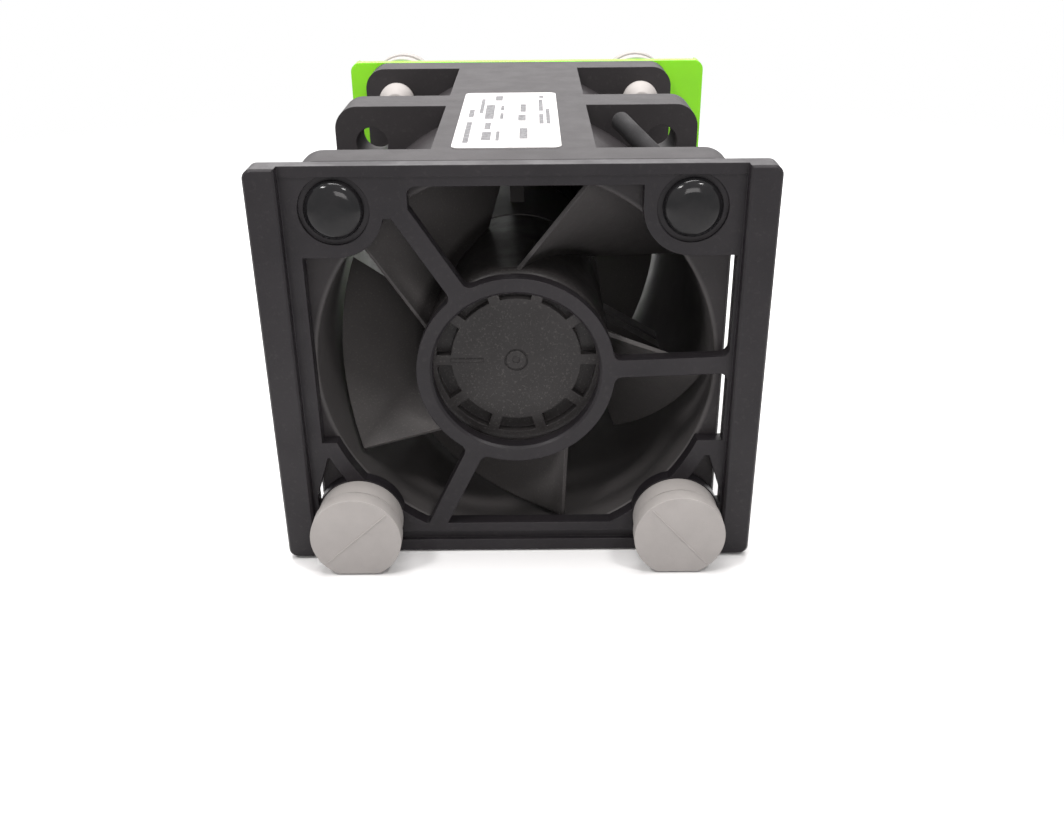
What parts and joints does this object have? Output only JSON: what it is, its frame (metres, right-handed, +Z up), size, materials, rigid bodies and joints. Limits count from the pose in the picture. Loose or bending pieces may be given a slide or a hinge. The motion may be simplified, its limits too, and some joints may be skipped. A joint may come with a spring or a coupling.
{
  "type": "server fan module",
  "caption": "Counter-rotating pair of square axial fans behind a black spoked bracket, with rubber rivets, bumpers and a green rear carrier.",
  "frame": {"origin": "on the base plane under the fan axis, at the joint between the two fans", "axes": "+X to the right seen from the intake side, +Y along the fan axis with the air from intake to outlet, +Z up"},
  "size_m": [0.0484, 0.0679, 0.0407],
  "materials": {
    "black_abs": "satin black moulding",
    "impeller_black": "fine satin black moulding",
    "bracket_black": "satin black moulding with a fine grain",
    "gloss_black": "polished black",
    "grey_rubber": "soft matte",
    "green_plastic": "bright satin",
    "connector_black": "matte",
    "contact_gold": "gold plated",
    "label_white": "smooth film",
    "brass": "turned",
    "steel": "ground",
    "yoke_steel": "dark plated steel",
    "lamination": "varnished steel sheets",
    "magnet_grey": "bonded ferrite",
    "insulator_plastic": "moulded nylon",
    "copper_wire": "enamelled wire",
    "board_green": "solder mask"
  },
  "bodies": {
    "root": {"front_housing": "black_abs", "front_bearing_sleeve": "brass", "front_bearing_outer_rings": "steel", "front_preload_spring": "steel", "front_stator_core": "lamination", "front_insulator": "insulator_plastic", "front_coils": "copper_wire", "front_circuit_board": "board_green", "rear_housing": "black_abs", "rear_bearing_sleeve": "brass", "rear_bearing_outer_rings": "steel", "rear_preload_spring": "steel", "rear_stator_core": "lamination", "rear_insulator": "insulator_plastic", "rear_coils": "copper_wire", "rear_circuit_board": "board_green", "front_bracket": "bracket_black", "front_rivets": "gloss_black", "front_bumpers": "grey_rubber", "rear_bumpers": "grey_rubber", "rear_carrier": "green_plastic", "connector_housing": "connector_black", "connector_contacts": "contact_gold", "label": "label_white"},
    "front_rotor": {"front_impeller": "impeller_black", "front_rotor_yoke": "yoke_steel", "front_magnet_ring": "magnet_grey", "front_shaft": "steel", "front_bearing_inner_rings": "steel", "front_bearing_balls": "steel", "front_retaining_clip": "steel"},
    "rear_rotor": {"rear_impeller": "impeller_black", "rear_rotor_yoke": "yoke_steel", "rear_magnet_ring": "magnet_grey", "rear_shaft": "steel", "rear_bearing_inner_rings": "steel", "rear_bearing_balls": "steel", "rear_retaining_clip": "steel"}
  },
  "joints": [
    {"name": "front_rotor_spin", "type": "hinge", "parent": "root", "child": "front_rotor", "pos_m": [0, -0.014, 0.02], "axis": [0, -1, 0], "continuous": true},
    {"name": "rear_rotor_spin", "type": "hinge", "parent": "root", "child": "rear_rotor", "pos_m": [0, 0.014, 0.02], "axis": [0, 1, 0], "continuous": true}
  ]
}
